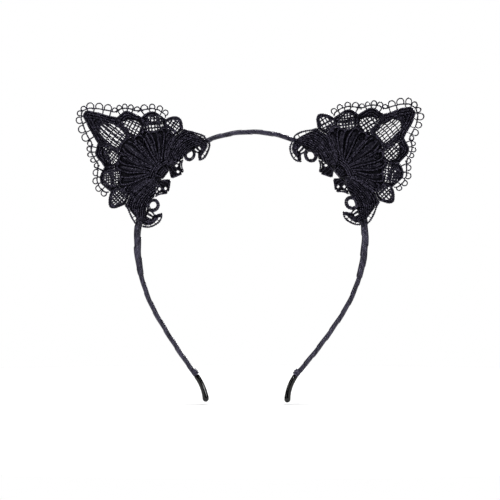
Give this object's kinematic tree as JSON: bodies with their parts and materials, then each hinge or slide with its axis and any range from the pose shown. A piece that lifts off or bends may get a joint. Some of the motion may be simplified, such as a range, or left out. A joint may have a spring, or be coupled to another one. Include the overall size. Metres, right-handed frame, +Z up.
{
  "type": "animal ears headband",
  "caption": "Slim ribbon-wrapped spring hair band that carries a pair of black guipure lace cat ears on its front.",
  "frame": {"origin": "middle of the crown's inner face, where the band rests on the head", "axes": "+Z up out of the crown, -Y to the front, where the lace ears are, and +X towards the wearer's left"},
  "size_m": [0.1979, 0.0096, 0.173],
  "materials": {
    "spring_steel": "bare spring-steel strip with rounded edges, hidden under the ribbon",
    "satin_ribbon": "black woven satin ribbon with a faint violet cast and a silky sheen, wound in a helix",
    "lace_thread": "black viscose embroidery thread, satin-stitched and corded, soft lustre",
    "dipped_plastic": "black dipped plastic, glossy, slightly uneven",
    "clear_glue": "thin line of set textile glue, dark where the thread shows through"
  },
  "bodies": {
    "root": {"band_core": "spring_steel", "crown_ribbon": "satin_ribbon", "left_shoulder_ribbon": "satin_ribbon", "left_leg_ribbon": "satin_ribbon", "left_ribbon_knot": "satin_ribbon", "left_tip": "dipped_plastic", "right_shoulder_ribbon": "satin_ribbon", "right_leg_ribbon": "satin_ribbon", "right_ribbon_knot": "satin_ribbon", "right_tip": "dipped_plastic", "left_peak": "lace_thread", "left_peak_net": "lace_thread", "left_fan": "lace_thread", "left_picots": "lace_thread", "left_crown_scallop_1": "lace_thread", "left_leg_scallop_1": "lace_thread", "left_crown_scallop_2": "lace_thread", "left_leg_scallop_2": "lace_thread", "left_crown_scallop_3": "lace_thread", "left_leg_scallop_3": "lace_thread", "left_crown_leaf": "lace_thread", "left_leg_leaf": "lace_thread", "left_crown_scroll": "lace_thread", "left_leg_scroll": "lace_thread", "left_crown_tail": "lace_thread", "left_leg_tail": "lace_thread", "right_peak": "lace_thread", "right_peak_net": "lace_thread", "right_fan": "lace_thread", "right_picots": "lace_thread", "right_crown_scallop_1": "lace_thread", "right_leg_scallop_1": "lace_thread", "right_crown_scallop_2": "lace_thread", "right_leg_scallop_2": "lace_thread", "right_crown_scallop_3": "lace_thread", "right_leg_scallop_3": "lace_thread", "right_crown_leaf": "lace_thread", "right_leg_leaf": "lace_thread", "right_crown_scroll": "lace_thread", "right_leg_scroll": "lace_thread", "right_crown_tail": "lace_thread", "right_leg_tail": "lace_thread", "left_glue_line": "clear_glue", "right_glue_line": "clear_glue"}
  },
  "joints": []
}
